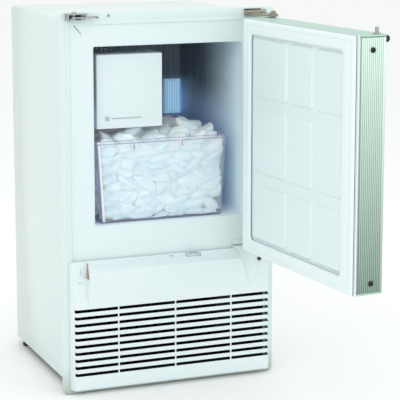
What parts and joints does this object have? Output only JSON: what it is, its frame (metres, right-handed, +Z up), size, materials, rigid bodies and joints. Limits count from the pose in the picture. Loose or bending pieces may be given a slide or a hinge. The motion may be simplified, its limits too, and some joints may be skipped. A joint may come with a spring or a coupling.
{
  "type": "built-in ice maker",
  "caption": "Tall narrow white built-in ice maker with a louvred base grille, a door standing open on a vertical side hinge, an automatic ice maker unit and a clear slide-out ice bin.",
  "frame": {"origin": "centre of the underside of the whole box at rest, door open as stored, on the floor", "axes": "+X to the right across the front, +Y from the front to the back, +Z up"},
  "size_m": [0.406, 0.7754, 0.666],
  "materials": {
    "white_paint": "smooth semi-gloss white enamel",
    "white_plastic": "moulded white plastic, low gloss",
    "liner_plastic": "vacuum-formed white liner",
    "gasket_vinyl": "soft white vinyl seal",
    "clear_plastic": "clear moulded plastic",
    "pale_blue_plastic": "ribbed pale blue plastic",
    "aluminium": "satin anodised extrusion",
    "cast_aluminium": "as-cast aluminium",
    "dark_aluminium": "dark coated aluminium",
    "zinc_steel": "zinc-plated sheet steel",
    "black_plastic": "black moulded plastic",
    "black_paint": "black gloss paint",
    "copper": "bare copper tube",
    "foam": "rigid polyurethane foam",
    "nylon": "natural nylon"
  },
  "bodies": {
    "cabinet": {"cabinet_shell": "white_paint", "rear_panel": "white_paint", "base_pan": "zinc_steel", "foam_insulation": "foam", "liner": "liner_plastic", "breaker_frame": "white_plastic", "front_flange": "white_paint", "evaporator_plate": "dark_aluminium", "thermostat_guard": "pale_blue_plastic", "icemaker_cover": "white_plastic", "icemaker_housing": "white_plastic", "drive_motor": "zinc_steel", "ice_mould": "cast_aluminium", "ice_stripper": "white_plastic", "fill_cup": "white_plastic", "fill_tube": "white_plastic", "compressor": "black_paint", "condenser": "aluminium", "fan_shroud": "zinc_steel", "fan_motor": "black_paint", "discharge_line": "copper", "control_box": "zinc_steel", "water_valve": "white_plastic", "cord_gland": "black_plastic", "grille": "white_plastic", "grille_screw": "black_paint", "switch_bezel": "white_plastic", "top_hinge_plate": "zinc_steel", "top_hinge_pin": "zinc_steel", "lower_hinge_plate": "white_paint", "lower_hinge_pin": "zinc_steel", "latch_bracket": "zinc_steel"},
    "door": {"door_skin": "white_paint", "door_foam": "foam", "door_liner": "white_plastic", "door_gasket": "gasket_vinyl", "door_stud": "zinc_steel", "door_knob": "black_plastic", "door_edge_free": "aluminium", "door_edge_hinge": "aluminium", "door_cap_top": "aluminium", "door_cap_bottom": "aluminium", "door_bushing_top": "nylon", "door_bushing_bottom": "nylon", "door_screw_top": "black_paint", "door_screw_bottom": "black_paint"},
    "bin": {"ice_bin": "clear_plastic"},
    "ejector": {"ejector_gear": "nylon", "ejector_shaft": "white_plastic"},
    "pinion": {"motor_pinion": "nylon"},
    "arm": {"shutoff_arm": "white_plastic"},
    "fan": {"fan_blade": "black_plastic"},
    "rocker": {"rocker_switch": "black_plastic"},
    "latch": {"latch_arm": "zinc_steel"},
    "foot_front_left": {"leg_front_left": "black_plastic"},
    "foot_front_right": {"leg_front_right": "black_plastic"},
    "foot_rear_left": {"leg_rear_left": "black_plastic"},
    "foot_rear_right": {"leg_rear_right": "black_plastic"}
  },
  "joints": [
    {"name": "door_hinge", "type": "hinge", "parent": "cabinet", "child": "door", "pos_m": [0.16445, -0.03276, 0.445], "axis": [0, 0, 1], "range_deg": [-94, 16]},
    {"name": "bin_slide", "type": "slide", "parent": "cabinet", "child": "bin", "axis": [0, -1, 0], "range_m": [0, 0.2]},
    {"name": "ejector_turn", "type": "hinge", "parent": "cabinet", "child": "ejector", "pos_m": [-0.07105, 0.08974, 0.552], "axis": [0, 1, 0], "continuous": true},
    {"name": "pinion_turn", "type": "hinge", "parent": "cabinet", "child": "pinion", "pos_m": [-0.05093, 0.08974, 0.52802], "axis": [0, 1, 0], "continuous": true},
    {"name": "shutoff_arm_lift", "type": "hinge", "parent": "cabinet", "child": "arm", "pos_m": [-0.02105, 0.10174, 0.48], "axis": [0, -1, 0], "range_deg": [0, 45]},
    {"name": "fan_spin", "type": "hinge", "parent": "cabinet", "child": "fan", "pos_m": [-0.09005, 0.12774, 0.125], "axis": [0, 1, 0], "continuous": true},
    {"name": "rocker_tilt", "type": "hinge", "parent": "cabinet", "child": "rocker", "pos_m": [0.03445, 0.01574, 0.2295], "axis": [0, -1, 0], "range_deg": [0, 12]},
    {"name": "latch_swing", "type": "hinge", "parent": "cabinet", "child": "latch", "pos_m": [-0.18105, 0.01174, 0.6544], "axis": [0, 0, -1], "range_deg": [0, 90]},
    {"name": "foot_turn_front_left", "type": "hinge", "parent": "cabinet", "child": "foot_front_left", "pos_m": [-0.17505, 0.06374, 0], "axis": [0, 0, 1], "continuous": true},
    {"name": "foot_turn_front_right", "type": "hinge", "parent": "cabinet", "child": "foot_front_right", "pos_m": [0.16495, 0.06374, 0], "axis": [0, 0, 1], "continuous": true},
    {"name": "foot_turn_rear_left", "type": "hinge", "parent": "cabinet", "child": "foot_rear_left", "pos_m": [-0.17505, 0.34874, 0], "axis": [0, 0, 1], "continuous": true},
    {"name": "foot_turn_rear_right", "type": "hinge", "parent": "cabinet", "child": "foot_rear_right", "pos_m": [0.16495, 0.34874, 0], "axis": [0, 0, 1], "continuous": true}
  ],
  "couplings": [
    {"joint": "pinion_turn", "follows": "ejector_turn", "ratio": -3}
  ]
}
